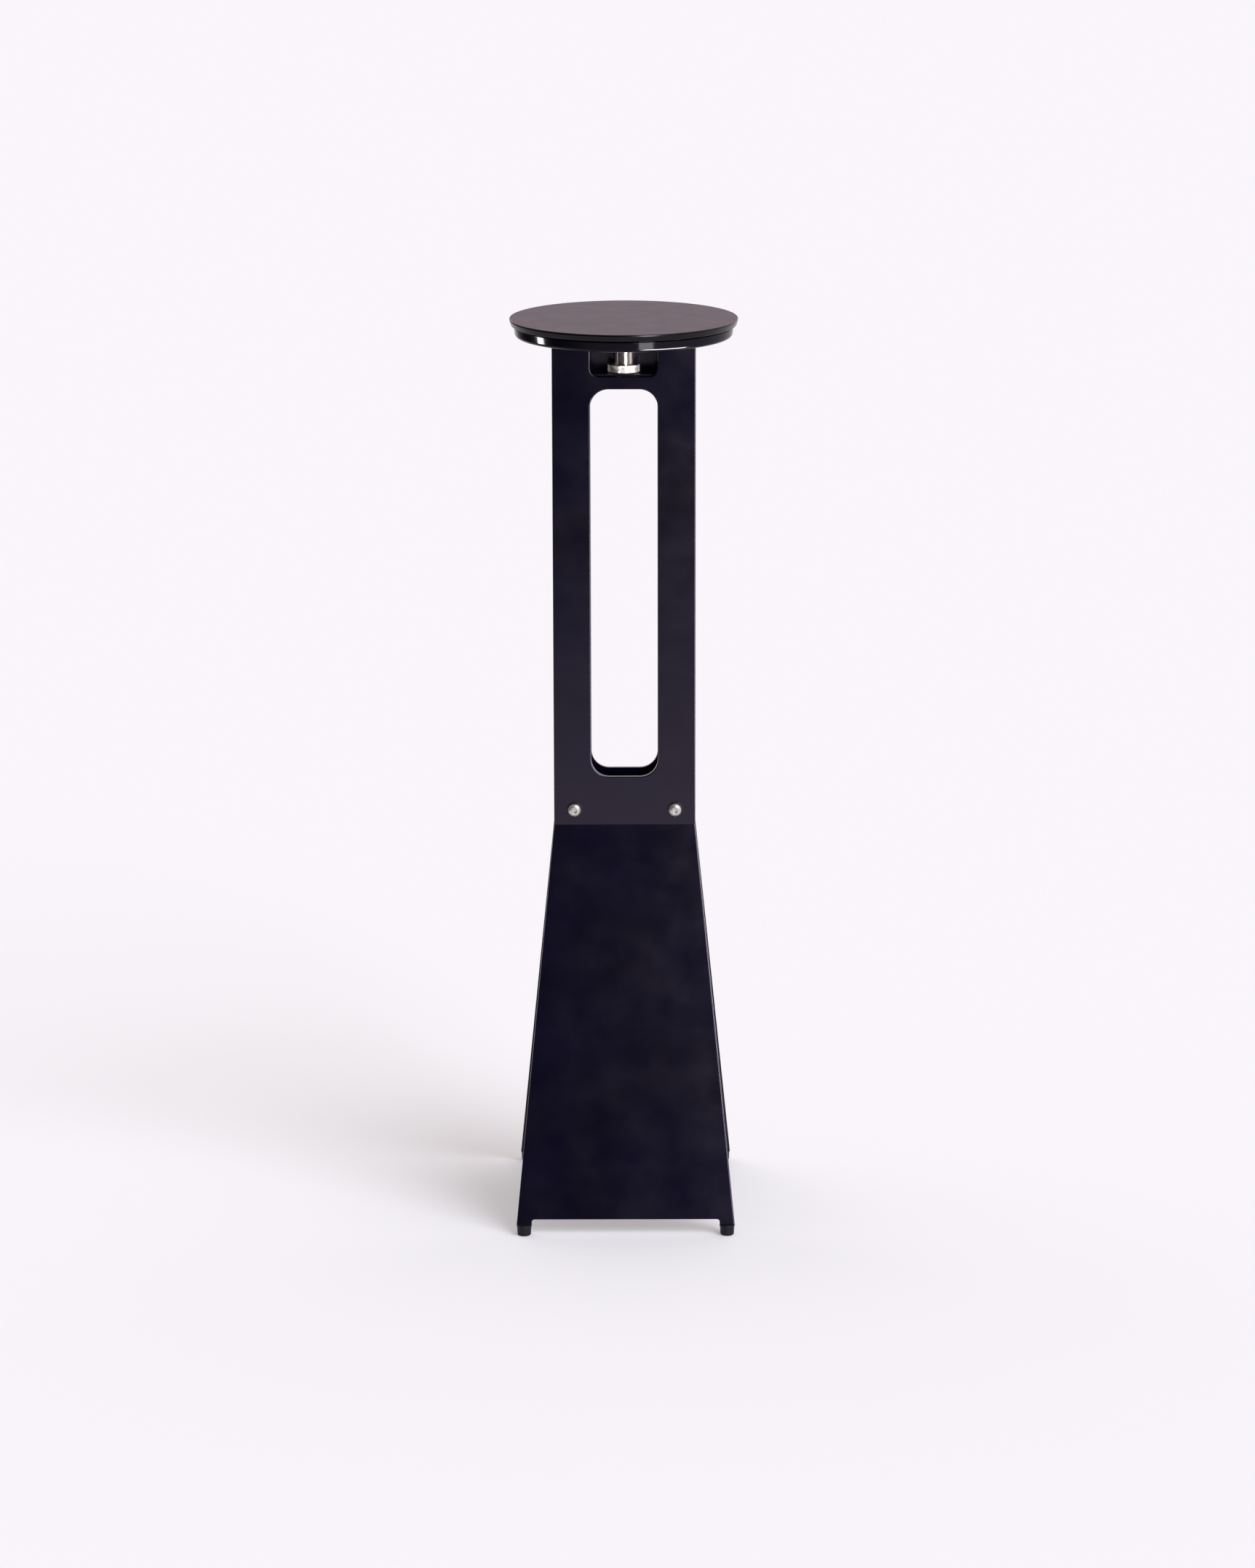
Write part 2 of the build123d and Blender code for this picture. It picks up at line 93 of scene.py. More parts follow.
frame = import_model()

MM = 0.001
ROUND_STEPS = 7  # facets in an eased corner
ROUND_GUARD = 0.06  # straight step beside an eased corner, as a share of its radius
FAR_ROUND = 384  # columns round the head
POST_ROUND = 192  # columns round the post
NEAR_ROUND = 96  # columns round small turned pieces
FLAT_UP = 0.9999  # a face whose normal climbs more than this counts as the level top
SOFT_CREASE, KNURL_CREASE = 32, 20  # degrees past which an edge stays sharp

# Broken and rounded edges, from a touch of the file to a cast fillet.
HAIR, FINE, SOFT, BOLD = 0.2 * MM, 0.3 * MM, 0.4 * MM, 0.6 * MM
CAST_SMALL, CAST_LARGE = 1.2 * MM, 1.5 * MM

# The pan under the plate.
SHADOW_GAP = 1.5 * MM  # the neck between the plate and the pan's rim
PAN_RIM_HEIGHT = 11.1 * MM
PAN_RECESS = 6 * MM  # depth of the hollow underneath
PAN_WALL = 9 * MM  # radial width of the rim
PAN_DRAFT = 1.6 * MM  # how much the rim's side leans in from top to bottom
NECK_INSET = 4.4 * MM  # the neck is this much inside the rim
RIM_EDGE = 0.45 * MM
FLANGE_RADIUS, FLANGE_DROP = 31 * MM, 3.5 * MM
HUB_RADIUS = 18 * MM
RACE_SHOULDER = 1 * MM
RIB_COUNT, RIB_WIDTH, RIB_HEIGHT = 6, 6 * MM, 4.8 * MM
RIB_BITE, RIB_ROOT = 1 * MM, 0.5 * MM  # into the flange and the rim, and into the pan's roof
RIB_EASE = 0.35  # of half its width
RIB_START = 90  # degrees from +X to the first rib

# The post.
POST_CENTRE = 0.4 * MM  # radius at which its end faces meet their fans
POST_FLANGE = 3.4 * MM  # thickness of the clamped flange
THREAD_RADIUS, NECK_RADIUS, JOURNAL_RADIUS = 12 * MM, 11 * MM, 8.5 * MM
THREAD_STOP, NECK_START = 1.4 * MM, 0.6 * MM  # both under the lock ring's top
CLIP_GROOVE = 0.4 * MM
TIP_EASE = 0.5 * MM

# The lock ring.
RING_BORE, RING_CHAMFER = 12.05 * MM, 0.8 * MM
RING_ROWS, DIAMOND_COLUMNS = 41, 10
CREST_WIDTH = 1.25  # above 1 leaves the diamonds' points flat

# Screws, as (frame node, side along Y, shank radius, head radius, head height).
SCREWS = (
    ("front_spacer_screws", -1, 4 * MM, 7.1 * MM, 4.4 * MM),
    ("rear_spacer_screws", 1, 4 * MM, 7.1 * MM, 4.4 * MM),
    ("bridge_screws", 1, 3 * MM, 5.25 * MM, 3.3 * MM))
SOCKET_SHARE = 0.72  # socket across its flats, as a share of the head's radius
DOME_ROWS, DOME_POWER, DOME_CROWDING = 18, 4, 1.6

WASHERS = (("front_washers", -1), ("rear_washers", 1))
WASHER_BORE, WASHER_UNDER_EDGE = 4.3 * MM, 0.15 * MM

FEET = ("foot_front_left", "foot_front_right", "foot_rear_left", "foot_rear_right")
FOOT_CENTRE = 0.5 * MM  # radius at which its end faces meet their fans
COLLAR_STEP, COLLAR_HEIGHT, COLLAR_RAMP = 0.5 * MM, 2 * MM, 0.3 * MM
FOOT_TAPER, SOLE_ROUND = 0.4 * MM, 1.6 * MM

# The studio.
FLOOR_REACH = 40.0
FLOOR_PAINTED_SHADE = 0.06  # painted shade: the far floor's share of the near floor's colour, in reflections and bounced light, standing for the unlit room
FLOOR_FRONT = (-4.0, -1.5)  # along Y, from all painted shade to all pale
FLOOR_LEFT = (-2.6, -1.15)  # the same along X, once the view's widening is taken off
VIEW_WIDENING = 0.125  # how far the view's side runs out per metre of depth
AIR_LEAN = 0.45  # how far the bright side of the air turns from the back to the right
AIR_RANGE, AIR_DARK = (-0.8, 0.15), 0.06
AIR_COLOUR = (0.97, 0.91, 0.90)
KEY_POWER, KEY_SPREAD, KEY_COLOUR = 1.98, radians(40), (0.85, 0.90, 1.0)
KEY_TURN, KEY_TILT = radians(44), radians(50)
FILL_POWER = 0.85

# Soft boxes, as (name, place, height they face on the axis, width and height, watts, what
# they light).
SOFT_BOXES = (
    ("right_strip", (0.76, -1.74, 0.72), 0.80, (0.5, 1.35), 40, "pieces"),
    ("edge_glow_right", (1.5, 0.62, 0.75), 0.60, (1.2, 1.5), 40, "panels"),
    ("edge_glow_left", (-1.5, 0.62, 0.75), 0.60, (1.2, 1.5), 16, "panels"),
    ("inner_glow", (0, -1.9, 0.45), 0.80, (1.2, 0.9), 1.5, "inside"),
    ("left_strip", (-1.85, 0.26, 0.55), 0.80, (0.3, 0.6), 36, "pan"),
    ("pan_strip", (0.45, -1.8, 0.6), 0.98, (0.22, 0.5), 14, "pan"),
    ("low_glow", (0.72, -0.62, 0.12), 0.98, (1.0, 0.4), 180, "pan"),
    ("screw_glow", (0.25, -2.2, 0.15), 0.46, (1.8, 1.2), 11, "front_screws"),
    ("ring_glow", (1.2, -0.6, 0.75), 0.95, (0.9, 0.8), 9, "ring"))

LENS, SENSOR = 115.21, 36.0
CAMERA_PLACE = (0, -5.440, 1.849)
CAMERA_PAN, CAMERA_TILT, CAMERA_ROLL = radians(-0.033), radians(75.92), radians(-0.12)
CAMERA_NEAR, CAMERA_FAR = 0.1, 200.0


# ---- surfaces ----
def frame_box(node):
    """A frame node's lowest and highest corners as arrays."""
    low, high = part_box(node)
    return np.array(low), np.array(high)


def eased(outline):
    """A closed outline of (radius, level, easing) corners with arcs for its eased corners.

    Each arc runs between the two points where a circle of the corner's easing touches its
    two sides, and a short straight step before and after keeps the flats flat in shading.
    """
    corners = np.array([corner[:2] for corner in outline], float)
    rows = []
    for here, (_, _, easing) in enumerate(outline):
        corner = corners[here]
        if easing <= 0:
            rows.append(corner[None])
            continue
        back = corners[here - 1] - corner
        ahead = corners[(here + 1) % len(corners)] - corner
        back, ahead = back / np.linalg.norm(back), ahead / np.linalg.norm(ahead)
        half = np.arccos(np.clip(back @ ahead, -1, 1)) / 2
        reach = easing / np.tan(half)
        inward = (back + ahead) / np.linalg.norm(back + ahead)
        middle = corner + inward * easing / np.sin(half)
        first, last = corner + back * reach - middle, corner + ahead * reach - middle
        sweep = np.arctan2(first[0] * last[1] - first[1] * last[0], first @ last)
        turn = np.linspace(0, sweep, ROUND_STEPS + 1)
        arc = np.stack([first[0] * np.cos(turn) - first[1] * np.sin(turn),
                        first[0] * np.sin(turn) + first[1] * np.cos(turn)], axis=1) + middle
        guard = ROUND_GUARD * easing
        rows.append(np.vstack([arc[:1] + back * guard, arc, arc[-1:] + ahead * guard]))
    return np.vstack(rows)


def rings_of(profile, columns):
    """Every (radius, level) of a profile carried once round the Z axis.

    A point at radius r and angle a goes to (r cos a, r sin a, its level).
    """
    angle = np.linspace(0, 2 * pi, columns, endpoint=False)
    radius, level = profile[:, :1], profile[:, 1:]
    flat = np.ones_like(angle)[None]
    return np.stack([radius * np.cos(angle), radius * np.sin(angle), level * flat], axis=2)


def skin(rings, loop):
    """Points and face arrays over rings of points; rows close on themselves or get end fans.

    Face (i, j) joins point j and j+1 of ring i to the same two of ring i+1, so a ring that
    turns with +Z while the rows climb outside gives faces that look outwards.
    """
    rows, columns = rings.shape[:2]
    index = np.arange(rows * columns).reshape(rows, columns)
    if loop:
        index = np.vstack([index, index[:1]])
    right = np.roll(index, -1, axis=1)
    quads = np.stack([index[:-1], right[:-1], right[1:], index[1:]], axis=2).reshape(-1, 4)
    points = rings.reshape(-1, 3)
    if loop:
        return points, [quads]
    low, high = len(points), len(points) + 1
    points = np.vstack([points, rings[0].mean(axis=0), rings[-1].mean(axis=0)])
    start = np.stack([np.full(columns, low), right[0], index[0]], axis=1)
    end = np.stack([np.full(columns, high), index[-1], right[-1]], axis=1)
    return points, [quads, start, end]


def joined(parts):
    """Several (points, face arrays) pairs as one, each part's faces moved on by those before."""
    starts = np.cumsum([0] + [len(points) for points, _ in parts])
    faces = [some + start for start, (_, arrays) in zip(starts, parts) for some in arrays]
    return np.vstack([points for points, _ in parts]), faces


def placed(part, turn, place):
    """A (points, face arrays) pair turned by a 3x3 array and moved."""
    points, faces = part
    return points @ np.array(turn, float).T + np.array(place, float), faces


def facing(side):
    """The turn that takes a piece made along +Z to point along +Y or, for side -1, -Y."""
    return np.array([[-side, 0, 0], [0, 0, side], [0, 1, 0]], float)


def piece(name, part, material, body, nodes, crease=SOFT_CREASE):
    """A shaded mesh object at the origin that stands for frame nodes and rides on their body."""
    points, faces = part
    mesh = bpy.data.meshes.new(name)
    mesh.from_pydata(points.tolist(), [], sum((some.tolist() for some in faces), []))
    mesh.validate()
    mesh.polygons.foreach_set("use_smooth", np.ones(len(mesh.polygons), bool))
    mesh.set_sharp_from_angle(angle=radians(crease))
    mesh.materials.append(material)
    mesh.update()
    thing = bpy.data.objects.new(name, mesh)
    bpy.context.scene.collection.objects.link(thing)
    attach(thing, body)
    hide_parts(*nodes)
    return thing


# ---- shapes ----
def button_head(radius, head_radius, height, length, socket):
    """A button-head screw along +Z, seated at level 0, with a hexagon socket.

    The rows run up the shank, out under the head, over a flat-topped dome whose level falls
    as the fourth power of the radius, then into a socket whose radius is flats / 2 over the
    cosine of the angle from the nearest flat's middle. A row is its radius, as a share of one
    of those radii, and its level.
    """
    angle = np.linspace(0, 2 * pi, NEAR_ROUND, endpoint=False)
    hexagon = socket / 2 / np.cos((angle + pi / 6) % (pi / 3) - pi / 6)
    shank, head = np.full(NEAR_ROUND, radius), np.full(NEAR_ROUND, head_radius)
    rim, under = 0.32 * height, 0.05 * height
    lip = 0.08 * head
    rows = [(0.85 * shank, -length), (shank, 0.15 * radius - length),
            (shank, -0.02 * height), (shank, 0.0),
            (head - under, 0.0), (head, under), (head, 0.9 * rim)]
    edge = hexagon + lip
    for share in 1 - np.linspace(1, 0, DOME_ROWS) ** DOME_CROWDING:
        across = (1 - share) * head + share * edge
        rows.append((across, rim + (height - rim) * (1 - (across / head) ** DOME_POWER)))
    top = rows[-1][1]
    floor, cone = 0.25 * height, 0.13 * height
    rows += [(edge - 0.3 * lip, top), (hexagon, top - 0.7 * lip), (hexagon, floor),
             (0.96 * hexagon, floor), (0.3 * hexagon, cone)]
    rings = [np.stack([r * np.cos(angle), r * np.sin(angle), z + 0 * angle], axis=1)
             for r, z in rows]
    return skin(np.array(rings), loop=False)


def knurled(outer, bore, low, high, chamfer, diamonds, depth, lean):
    """A ring nut whose side carries cut diamonds.

    Two families of V grooves cross: each is a triangle wave of (turns x diamonds) plus or
    minus (level x slope), the side stands at the lower of the two waves, and the chamfers
    cap it at both rims.
    """
    columns = diamonds * DIAMOND_COLUMNS
    angle = np.linspace(0, 2 * pi, columns, endpoint=False)
    side = np.linspace(low, high, RING_ROWS)
    slope = diamonds / (2 * pi * outer) * tan(lean)
    turns = diamonds * angle[None] / (2 * pi)
    climb = slope * (side[:, None] - low)
    ahead = 1 - np.abs(2 * ((turns + climb) % 1) - 1)
    back = 1 - np.abs(2 * ((turns - climb) % 1) - 1)
    crest = np.minimum(np.minimum(ahead, back) * CREST_WIDTH, 1.0)
    radius = outer - depth * (1 - crest)
    cap = outer - np.clip(chamfer - np.minimum(side - low, high - side), 0, None)
    radius = np.minimum(radius, cap[:, None])
    face_edge, bore_edge = outer - 1.9 * chamfer, 0.5 * chamfer
    inside = np.array([(face_edge, high), (bore + bore_edge, high), (bore, high - bore_edge),
                       (bore, low + bore_edge), (bore + bore_edge, low), (face_edge, low)])
    flat = np.ones((1, columns))
    radii = np.vstack([radius, inside[:, :1] * flat])
    levels = np.concatenate([side, inside[:, 1]])[:, None] * flat
    rings = np.stack([radii * np.cos(angle), radii * np.sin(angle), levels], axis=2)
    return skin(rings, loop=True)


def rib(inner, outer, width, low, high, draft):
    """A cast rib along +X: an eased trapezium carried from the hub's flange to the rim."""
    half = width / 2
    root, ease = half + draft, RIB_EASE * half
    section = eased([(-root, high, 0), (-half, low, ease), (half, low, ease), (root, high, 0)])
    stations = np.array([inner, outer])
    rings = np.stack([np.repeat(stations[:, None], len(section), axis=1),
                      np.repeat(section[None, :, 0], 2, axis=0),
                      np.repeat(section[None, :, 1], 2, axis=0)], axis=2)
    return skin(rings, loop=False)


# ---- finishes ----
WHITE = (1, 1, 1)
EVEN = (1, 1, 1)  # grain alike in every direction
RINGED = (60, 60, 3000)  # grain drawn out into fine rings round the axis
POST_RINGED = (40, 40, 5200)

# Each finish is its colour or the colour property's name, its roughness, (clouds per metre,
# share the colour swings, swing of roughness), (grain per metre, its height, its stretch),
# how metallic it is, its specular level and that level's tint.
FINISHES = {
    "satin_powder_coat": (
        "coat", 0.19, (9, 0.35, 0.03), (1100, 0.002 * MM, EVEN), 0, 0.43, (0.95, 0.80, 1.0)),
    # partly painted sheen: the top coat is lighter than the rim's to stand for grazing
    # reflection on the level top
    "matt_plate_coat": (
        "plate", 0.45, (14, 0.05, 0.02), (1800, 0.003 * MM, EVEN), 0, 0.22, (1.0, 0.75, 0.95)),
    "plate_rim_coat": (
        "enamel", 0.22, (14, 0.1, 0.02), (1800, 0.002 * MM, EVEN), 0, 0.22, (1.0, 0.9, 1.0)),
    "gloss_enamel": (
        "enamel", 0.1, (20, 0.2, 0.02), (420, 0.002 * MM, EVEN), 0, 0.1, (0.97, 0.93, 1.0)),
    "moulded_rubber": (
        "rubber", 0.42, (60, 0.25, 0.05), (2500, 0.005 * MM, EVEN), 0, 0.2, WHITE),
    "black_nylon": (
        (0.002, 0.0016, 0.0025), 0.3, (90, 0.2, 0.05), (3000, 0.004 * MM, EVEN), 0, 0.3, WHITE),
    "plain_stainless": (
        "steel", 0.42, (160, 0.06, 0.05), (4000, 0.003 * MM, EVEN), 1, 0.5, WHITE),
    "turned_stainless": (
        (0.50, 0.45, 0.425), 0.2, (70, 0.07, 0.05), (1.0, 0.02 * MM, POST_RINGED), 1, 0.5,
        WHITE),
    "knurled_nickel": (
        (0.74, 0.70, 0.68), 0.24, (200, 0.1, 0.05), (3500, 0.004 * MM, EVEN), 1, 0.5, WHITE),
    "ground_bearing_steel": (
        (0.55, 0.55, 0.56), 0.18, (120, 0.05, 0.03), (2.0, 0.01 * MM, RINGED), 1, 0.5, WHITE),
    "blued_spring_steel": (
        (0.10, 0.10, 0.115), 0.35, (150, 0.15, 0.05), (3000, 0.004 * MM, EVEN), 1, 0.5, WHITE),
    "machined_brass": (
        (0.72, 0.52, 0.24), 0.28, (120, 0.08, 0.05), (2.0, 0.01 * MM, RINGED), 1, 0.5, WHITE),
}
CLOUD_DETAIL, WEAR_DETAIL, GRAIN_DETAIL = 4.0, 5.0, 3.0
WEAR_SCALE = 2.7  # how much finer the gloss varies than the colour
NOISE_LOW, NOISE_HIGH = 0.3, 0.7  # the range that a noise pattern really fills


def blank(name, colour, roughness, **plain):
    """A node material whose even values are set on the shader's own sockets."""
    material = bpy.data.materials.new(name)
    material.use_nodes = True
    shader = material.node_tree.nodes["Principled BSDF"]
    shader.inputs["Base Color"].default_value = (*colour, 1)
    shader.inputs["Roughness"].default_value = roughness
    for socket, value in plain.items():
        shader.inputs[socket.replace("_", " ")].default_value = value
    return material, material.node_tree, shader


def noise(tree, scale, detail, stretch=EVEN):
    """A noise pattern on object coordinates, in features per metre."""
    where = tree.nodes.new("ShaderNodeTexCoord")
    mapping = tree.nodes.new("ShaderNodeMapping")
    mapping.inputs["Scale"].default_value = stretch
    pattern = tree.nodes.new("ShaderNodeTexNoise")
    pattern.inputs["Scale"].default_value = scale
    pattern.inputs["Detail"].default_value = detail
    tree.links.new(where.outputs["Object"], mapping.inputs["Vector"])
    tree.links.new(mapping.outputs["Vector"], pattern.inputs["Vector"])
    return pattern.outputs["Fac"]


def spread(tree, value, source, target, smooth=False):
    """The value's source range spread over the target range, evenly or in an S curve."""
    node = tree.nodes.new("ShaderNodeMapRange")
    node.interpolation_type = "SMOOTHSTEP" if smooth else "LINEAR"
    node.inputs["From Min"].default_value, node.inputs["From Max"].default_value = source
    node.inputs["To Min"].default_value, node.inputs["To Max"].default_value = target
    tree.links.new(value, node.inputs["Value"])
    return node.outputs["Result"]


def between(tree, value, first, second):
    """A colour that goes from first to second over a noise pattern's real range."""
    ramp = tree.nodes.new("ShaderNodeValToRGB")
    stops = ramp.color_ramp.elements
    stops[0].position, stops[1].position = NOISE_LOW, NOISE_HIGH
    stops[0].color, stops[1].color = (*first, 1), (*second, 1)
    tree.links.new(value, ramp.inputs["Fac"])
    return ramp.outputs["Color"]


def finish(name):
    """The named finish, made on first use: cloudy colour and gloss, and a fine grain."""
    if name in bpy.data.materials:
        return bpy.data.materials[name]
    colour, roughness, clouds, grain, metallic, level, tint = FINISHES[name]
    if isinstance(colour, str):
        colour = tuple(getattr(bpy.context.scene.turntable_colours, colour))
    material, tree, shader = blank(name, colour, roughness, Metallic=metallic,
                                   Specular_IOR_Level=level, Specular_Tint=(*tint, 1))
    scale, swing, rough_swing = clouds
    dark = [c * (1 - swing) for c in colour]
    light = [min(c * (1 + swing), 1.0) for c in colour]
    tree.links.new(between(tree, noise(tree, scale, CLOUD_DETAIL), dark, light),
                   shader.inputs["Base Color"])
    worn = noise(tree, scale * WEAR_SCALE, WEAR_DETAIL)
    tree.links.new(spread(tree, worn, (NOISE_LOW, NOISE_HIGH),
                          (roughness - rough_swing, roughness + rough_swing)),
                   shader.inputs["Roughness"])
    scale, height, stretch = grain
    bump = tree.nodes.new("ShaderNodeBump")
    bump.inputs["Strength"].default_value = 1.0
    bump.inputs["Distance"].default_value = height
    tree.links.new(noise(tree, scale, GRAIN_DETAIL, stretch), bump.inputs["Height"])
    tree.links.new(bump.outputs["Normal"], shader.inputs["Normal"])
    return material


def dress(nodes, name):
    """Frame nodes that stay in sight get a finish in all their material slots."""
    for node in nodes:
        thing = frame["nodes"][node]
        for place in thing.material_slots:
            place.material = finish(name)
        if not thing.material_slots:
            thing.data.materials.append(finish(name))


# ---- what a user would change ----
class TURNTABLE_PG_sizes(bpy.types.PropertyGroup):
    """Sizes of the details that the frame doesn't fix."""

    plate_edge: FloatProperty(
        name="Plate edge", description="Radius of the top plate's eased rims",
        default=0.9 * MM, min=0.2 * MM, max=2 * MM, unit="LENGTH")
    plate_land: FloatProperty(
        name="Plate land", description="Upright part of the plate's side, over its taper",
        default=1.9 * MM, min=1 * MM, max=4 * MM, unit="LENGTH")
    plate_draft: FloatProperty(
        name="Plate taper", description="How far the plate's side leans in below its land",
        default=1.8 * MM, min=0.0, max=4 * MM, unit="LENGTH")
    pan_lip: FloatProperty(
        name="Pan lip", description="Radius of the pan's lower outside edge",
        default=4.0 * MM, min=1 * MM, max=5 * MM, unit="LENGTH")
    diamonds: IntProperty(
        name="Diamonds", description="Knurl diamonds round the lock ring",
        default=66, min=30, max=90)
    knurl_depth: FloatProperty(
        name="Knurl depth", description="Depth of the lock ring's grooves",
        default=0.38 * MM, min=0.1 * MM, max=1 * MM, unit="LENGTH")
    knurl_lean: FloatProperty(
        name="Knurl lean", description="Angle of the grooves from upright",
        default=radians(30), min=radians(15), max=radians(45), subtype="ANGLE")
    rib_draft: FloatProperty(
        name="Rib draft", description="How much wider a cast rib is at its root, each side",
        default=0.5 * MM, min=0.0, max=2 * MM, unit="LENGTH")


class TURNTABLE_PG_colours(bpy.types.PropertyGroup):
    """Base colours of the finishes."""

    coat: FloatVectorProperty(
        name="Column coat", description="Satin powder coat of the folded panels",
        default=(0.0003, 0.0004, 0.0046), subtype="COLOR", min=0, max=1)
    # the plate's top colour is partly its matt coat and partly painted sheen of grazing
    # reflection
    plate: FloatVectorProperty(
        name="Plate coat", description="Fine matt coat of the working plate",
        default=(0.056, 0.030, 0.050), subtype="COLOR", min=0, max=1)
    enamel: FloatVectorProperty(
        name="Pan enamel", description="Gloss enamel of the cast pan",
        default=(0.0005, 0.0004, 0.0010), subtype="COLOR", min=0, max=1)
    steel: FloatVectorProperty(
        name="Steel", description="Plain turned and stamped stainless steel",
        default=(0.62, 0.60, 0.585), subtype="COLOR", min=0, max=1)
    rubber: FloatVectorProperty(
        name="Rubber", description="Moulded rubber of the feet",
        default=(0.004, 0.0035, 0.007), subtype="COLOR", min=0, max=1)
    floor: FloatVectorProperty(
        name="Floor", description="Pale studio floor",
        default=(0.735, 0.72, 0.735), subtype="COLOR", min=0, max=1)


# ---- operators ----
class Maker:
    """What every maker operator shares."""

    bl_options = {"REGISTER", "UNDO"}

    def execute(self, context):
        """Makes the pieces, and lets any error stop the script."""
        self.make(context.scene.turntable_sizes)
        return {"FINISHED"}


class TURNTABLE_OT_panels(Maker, bpy.types.Operator):
    """Coats the two folded panels and the bridge between them"""

    bl_idname = "turntable.panels"
    bl_label = "Folded panels"

    def make(self, sizes):
        dress(("front_panel", "rear_panel", "top_bridge"), "satin_powder_coat")


class TURNTABLE_OT_work_plate(Maker, bpy.types.Operator):
    """Turns the round working plate, satin on its eased and tapered rim and matt on top, the
    top's lighter coat partly painted sheen
    """

    bl_idname = "turntable.work_plate"
    bl_label = "Working plate"

    def make(self, sizes):
        low, high = frame_box("top_plate")
        radius, bottom, top = high[0], low[2], high[2]
        centre = 0.02 * radius
        outline = eased([
            (centre, bottom, 0),
            (radius - sizes.plate_draft, bottom, sizes.plate_edge),
            (radius, top - sizes.plate_land, 2 * sizes.plate_land / 3),
            (radius, top, sizes.plate_edge),
            (centre, top, 0)])
        part = skin(rings_of(outline, FAR_ROUND), loop=False)
        thing = piece("work_plate", part, finish("plate_rim_coat"), "head", ["top_plate"])
        # the level top gets the lighter coat, partly a matt finish and partly painted sheen, and
        # the rim keeps the dark copy
        thing.data.materials.append(finish("matt_plate_coat"))
        slants = np.empty(3 * len(thing.data.polygons))
        thing.data.polygons.foreach_get("normal", slants)
        thing.data.polygons.foreach_set(
            "material_index", (slants.reshape(-1, 3)[:, 2] > FLAT_UP).astype(np.int32))


class TURNTABLE_OT_cast_pan(Maker, bpy.types.Operator):
    """Casts the pan under the plate, with its rim, hollow, hub and ribs"""

    bl_idname = "turntable.cast_pan"
    bl_label = "Cast pan"

    def make(self, sizes):
        low, high = frame_box("under_pan")
        hub_low, radius = low[2], high[0]
        plate_low = frame_box("top_plate")[0][2]
        race_low, race_high = frame_box("upper_outer_race")
        shoulder_high, shoulder_low = race_low[2], frame_box("lower_outer_race")[1][2]
        bore = race_high[0]
        shoulder = bore - RACE_SHOULDER
        rim_top = plate_low - SHADOW_GAP
        pan_low = rim_top - PAN_RIM_HEIGHT
        recess, flange_low = pan_low + PAN_RECESS, pan_low - FLANGE_DROP
        wall, neck = radius - PAN_WALL, radius - NECK_INSET
        outline = eased([
            (bore, hub_low, BOLD), (HUB_RADIUS, hub_low, 1 * MM),
            (HUB_RADIUS, flange_low, CAST_SMALL), (FLANGE_RADIUS, flange_low, CAST_LARGE),
            (FLANGE_RADIUS, recess, CAST_LARGE), (wall, recess, CAST_LARGE),
            (wall, pan_low, CAST_SMALL), (radius - PAN_DRAFT, pan_low, sizes.pan_lip),
            (radius, rim_top, RIM_EDGE), (neck, rim_top, FINE), (neck, plate_low, 0),
            (bore, plate_low, 0), (bore, shoulder_high, 0), (shoulder, shoulder_high, 0),
            (shoulder, shoulder_low, 0), (bore, shoulder_low, 0)])
        shell = skin(rings_of(outline, FAR_ROUND), loop=True)
        one = rib(FLANGE_RADIUS - RIB_BITE, wall + RIB_BITE, RIB_WIDTH, recess - RIB_HEIGHT,
                  recess + RIB_ROOT, sizes.rib_draft)
        angles = [radians(RIB_START + i * 360 / RIB_COUNT) for i in range(RIB_COUNT)]
        ribs = [placed(one, Matrix.Rotation(angle, 3, "Z"), (0, 0, 0)) for angle in angles]
        piece("cast_pan", joined([shell] + ribs), finish("gloss_enamel"), "head",
              ["under_pan"])


class TURNTABLE_OT_post(Maker, bpy.types.Operator):
    """Turns the fixed post with its flange, thread, neck and journal"""

    bl_idname = "turntable.post"
    bl_label = "Post"

    def make(self, sizes):
        low, high = frame_box("post")
        flange, bottom, tip = high[0], low[2], high[2]
        seat = bottom + POST_FLANGE
        ring_top = frame_box("lock_ring")[1][2]
        journal_low = frame_box("lower_inner_race")[0][2]
        clip_low, clip_high = (corner[2] for corner in frame_box("post_circlip"))
        groove = JOURNAL_RADIUS - CLIP_GROOVE
        outline = eased([
            (POST_CENTRE, bottom, 0), (flange, bottom, SOFT), (flange, seat, SOFT),
            (THREAD_RADIUS, seat, FINE), (THREAD_RADIUS, ring_top - THREAD_STOP, HAIR),
            (NECK_RADIUS, ring_top - NECK_START, HAIR), (NECK_RADIUS, journal_low, FINE),
            (JOURNAL_RADIUS, journal_low, 0), (JOURNAL_RADIUS, clip_low, 0),
            (groove, clip_low, 0), (groove, clip_high, 0), (JOURNAL_RADIUS, clip_high, 0),
            (JOURNAL_RADIUS, tip, TIP_EASE), (POST_CENTRE, tip, 0)])
        part = skin(rings_of(outline, POST_ROUND), loop=False)
        piece("turned_post", part, finish("turned_stainless"), "stand", ["post"])


class TURNTABLE_OT_lock_ring(Maker, bpy.types.Operator):
    """Cuts the knurled lock ring"""

    bl_idname = "turntable.lock_ring"
    bl_label = "Lock ring"

    def make(self, sizes):
        low, high = frame_box("lock_ring")
        part = knurled(high[0], RING_BORE, low[2], high[2], RING_CHAMFER, sizes.diamonds,
                       sizes.knurl_depth, sizes.knurl_lean)
        piece("knurled_ring", part, finish("knurled_nickel"), "lock_ring", ["lock_ring"],
              crease=KNURL_CREASE)


